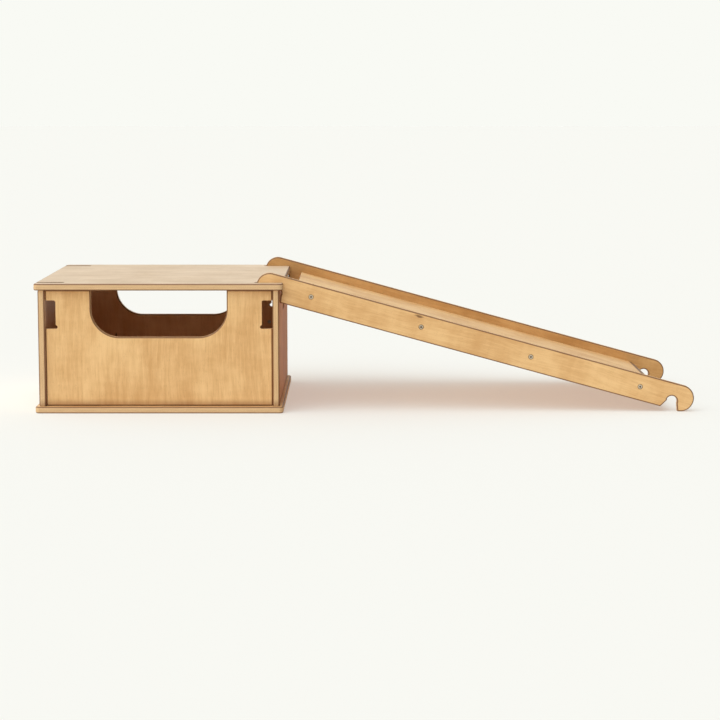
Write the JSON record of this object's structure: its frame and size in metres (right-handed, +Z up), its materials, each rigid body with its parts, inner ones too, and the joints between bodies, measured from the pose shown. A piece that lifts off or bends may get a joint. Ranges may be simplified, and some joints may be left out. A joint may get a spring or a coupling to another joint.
{
  "type": "toddler slide",
  "caption": "Low square plywood crawl box with U-shaped openings and a wide gently sloping slide between round-nosed rails that hook over the box's end panel.",
  "frame": {"origin": "on the floor, under the middle of the box around the whole object", "axes": "+X down the slide towards its low end, +Y from front to back, +Z up"},
  "size_m": [1.7584, 0.66, 0.3719],
  "materials": {
    "plywood": "honey-toned clear satin lacquer on birch plywood, eased edges showing the plies",
    "batten": "planed solid birch, lightly lacquered",
    "bolt_steel": "grey zinc-nickel plated, satin",
    "zinc_steel": "zinc plated, dull"
  },
  "bodies": {
    "box": {"base_panel": "plywood", "top_panel": "plywood", "front_panel": "plywood", "back_panel": "plywood", "left_end_panel": "plywood", "right_end_panel": "plywood", "left_top_cleat": "batten", "right_top_cleat": "batten", "corner_bolt_1": "bolt_steel", "corner_bolt_2": "bolt_steel", "corner_bolt_3": "bolt_steel", "corner_bolt_4": "bolt_steel", "corner_bolt_5": "bolt_steel", "corner_bolt_6": "bolt_steel", "corner_bolt_7": "bolt_steel", "corner_bolt_8": "bolt_steel", "corner_nut_1": "zinc_steel", "corner_nut_2": "zinc_steel", "corner_nut_3": "zinc_steel", "corner_nut_4": "zinc_steel", "corner_nut_5": "zinc_steel", "corner_nut_6": "zinc_steel", "corner_nut_7": "zinc_steel", "corner_nut_8": "zinc_steel", "base_screw_1": "zinc_steel", "base_screw_2": "zinc_steel", "base_screw_3": "zinc_steel", "base_screw_4": "zinc_steel", "base_screw_5": "zinc_steel", "base_screw_6": "zinc_steel", "base_screw_7": "zinc_steel", "base_screw_8": "zinc_steel", "cleat_screw_1": "zinc_steel", "cleat_screw_2": "zinc_steel", "cleat_screw_3": "zinc_steel", "cleat_screw_4": "zinc_steel", "cleat_screw_5": "zinc_steel", "cleat_screw_6": "zinc_steel", "cleat_screw_7": "zinc_steel", "cleat_screw_8": "zinc_steel"},
    "ramp": {"slide_board": "plywood", "front_rail": "plywood", "back_rail": "plywood", "ramp_bolt_1": "bolt_steel", "ramp_bolt_2": "bolt_steel", "ramp_bolt_3": "bolt_steel", "ramp_bolt_4": "bolt_steel", "ramp_bolt_5": "bolt_steel", "ramp_bolt_6": "bolt_steel", "ramp_bolt_7": "bolt_steel", "ramp_bolt_8": "bolt_steel", "ramp_nut_1": "zinc_steel", "ramp_nut_2": "zinc_steel", "ramp_nut_3": "zinc_steel", "ramp_nut_4": "zinc_steel", "ramp_nut_5": "zinc_steel", "ramp_nut_6": "zinc_steel", "ramp_nut_7": "zinc_steel", "ramp_nut_8": "zinc_steel"}
  },
  "joints": [
    {"name": "ramp_lift", "type": "slide", "parent": "box", "child": "ramp", "axis": [0, 0, 1], "range_m": [0, 0.12]}
  ]
}
